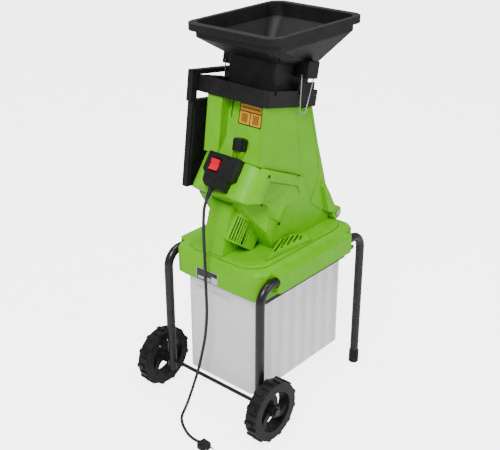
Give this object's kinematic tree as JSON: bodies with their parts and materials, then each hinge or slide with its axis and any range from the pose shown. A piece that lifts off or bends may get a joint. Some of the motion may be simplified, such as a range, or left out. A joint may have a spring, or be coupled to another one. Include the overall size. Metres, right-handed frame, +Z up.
{
  "type": "electric garden chipper",
  "caption": "Electric garden chipper with a feed hopper on a tilting tower, an inclined blade disc, a drawn-out bin and a wheeled tube stand.",
  "frame": {"origin": "on the floor under the middle of the machine's outline, the cord left out", "axes": "+Z up, +X to the operator's right, +Y away from the operator; the wheels, switch and knob are on the -Y side"},
  "size_m": [0.46, 0.6403, 1.068],
  "materials": {
    "frame_steel": "satin black powder coat",
    "foot_rubber": "moulded, matt",
    "bare_steel": "turned or ground",
    "wheel_plastic": "moulded with a coarse tread",
    "zinc": "bright zinc plate",
    "green_plastic": "smooth with a fine grain",
    "bin_plastic": "milky, slightly see-through",
    "black_plastic": "fine leather grain",
    "plate_black": "printed plate",
    "plate_amber": "printed plate",
    "motor_steel": "laminated and varnished",
    "copper": "varnished winding",
    "grey_plastic": "moulded",
    "blade_steel": "ground edge",
    "red_plastic": "translucent rocker",
    "cord_rubber": "smooth"
  },
  "bodies": {
    "base": {"leg_front_left": "frame_steel", "leg_front_right": "frame_steel", "leg_back_left": "frame_steel", "leg_back_right": "frame_steel", "foot_left": "foot_rubber", "foot_right": "foot_rubber", "axle": "bare_steel", "axle_spacers": "wheel_plastic", "push_nuts": "zinc", "base_cover": "green_plastic", "base_screws": "zinc", "leg_screws": "zinc", "bin_rail_left": "black_plastic", "bin_rail_right": "black_plastic", "rating_plate": "plate_black", "deck": "green_plastic", "lower_housing": "green_plastic", "tail_cover": "green_plastic", "housing_screws": "zinc", "deck_grille": "green_plastic", "motor_bracket": "bare_steel", "motor_stator": "motor_steel", "motor_windings": "copper", "lower_bearing": "motor_steel", "upper_bearing": "motor_steel", "brush_holders": "grey_plastic", "hinge_pins": "bare_steel", "interlock_switch": "black_plastic", "switch_box": "black_plastic", "switch_body": "black_plastic", "switch_screws": "zinc", "cord_gland": "cord_rubber", "power_cord": "cord_rubber", "plug_body": "cord_rubber", "plug_pins": "bare_steel"},
    "wheel_left": {"wheel_left": "wheel_plastic"},
    "wheel_right": {"wheel_right": "wheel_plastic"},
    "rotor": {"motor_rotor": "motor_steel", "motor_shaft": "bare_steel", "cooling_fan": "grey_plastic", "blade_disc": "bare_steel", "cutting_blades": "blade_steel", "blade_bolts": "zinc", "disc_bolt": "bare_steel"},
    "rocker": {"switch_rocker": "red_plastic"},
    "bin": {"bin": "bin_plastic"},
    "tower": {"upper_housing": "green_plastic", "feed_throat": "grey_plastic", "counter_blade": "blade_steel", "caution_plate": "plate_amber", "feed_collar": "black_plastic", "hopper": "black_plastic", "bail_brackets": "black_plastic", "interlock_pin": "black_plastic"},
    "knob": {"knob_grip": "black_plastic", "knob_stud": "bare_steel"},
    "bail_left": {"bail_left": "zinc"},
    "bail_right": {"bail_right": "zinc"},
    "pusher": {"pusher": "black_plastic"}
  },
  "joints": [
    {"name": "wheel_left_spin", "type": "hinge", "parent": "base", "child": "wheel_left", "pos_m": [-0.205, -0.189, 0.089], "axis": [1, 0, 0], "continuous": true},
    {"name": "wheel_right_spin", "type": "hinge", "parent": "base", "child": "wheel_right", "pos_m": [0.205, -0.189, 0.089], "axis": [1, 0, 0], "continuous": true},
    {"name": "blade_spin", "type": "hinge", "parent": "base", "child": "rotor", "pos_m": [0, -0.013, 0.65], "axis": [0, 0.5878, 0.809], "continuous": true},
    {"name": "rocker_press", "type": "hinge", "parent": "base", "child": "rocker", "pos_m": [-0.019, -0.14367, 0.72108], "axis": [-1, 0, 0], "range_deg": [0, 11]},
    {"name": "bin_slide", "type": "slide", "parent": "base", "child": "bin", "axis": [0, 1, 0], "range_m": [0, 0.4]},
    {"name": "tower_tilt", "type": "hinge", "parent": "base", "child": "tower", "pos_m": [0, 0.225, 0.5], "axis": [-1, 0, 0], "range_deg": [0, 70]},
    {"name": "knob_turn", "type": "hinge", "parent": "tower", "child": "knob", "pos_m": [0.022, -0.1035, 0.762], "axis": [0, 0.2079, 0.9781], "continuous": true},
    {"name": "bail_left_swing", "type": "hinge", "parent": "tower", "child": "bail_left", "pos_m": [-0.109, 0.02055, 0.949], "axis": [0, 0.9781, -0.2079], "range_deg": [0, 5]},
    {"name": "bail_right_swing", "type": "hinge", "parent": "tower", "child": "bail_right", "pos_m": [0.109, 0.06555, 0.93943], "axis": [0, -0.9781, 0.2079], "range_deg": [0, 100]},
    {"name": "pusher_lift_off", "type": "slide", "parent": "tower", "child": "pusher", "axis": [-1, 0, 0], "range_m": [0, 0.12]}
  ]
}
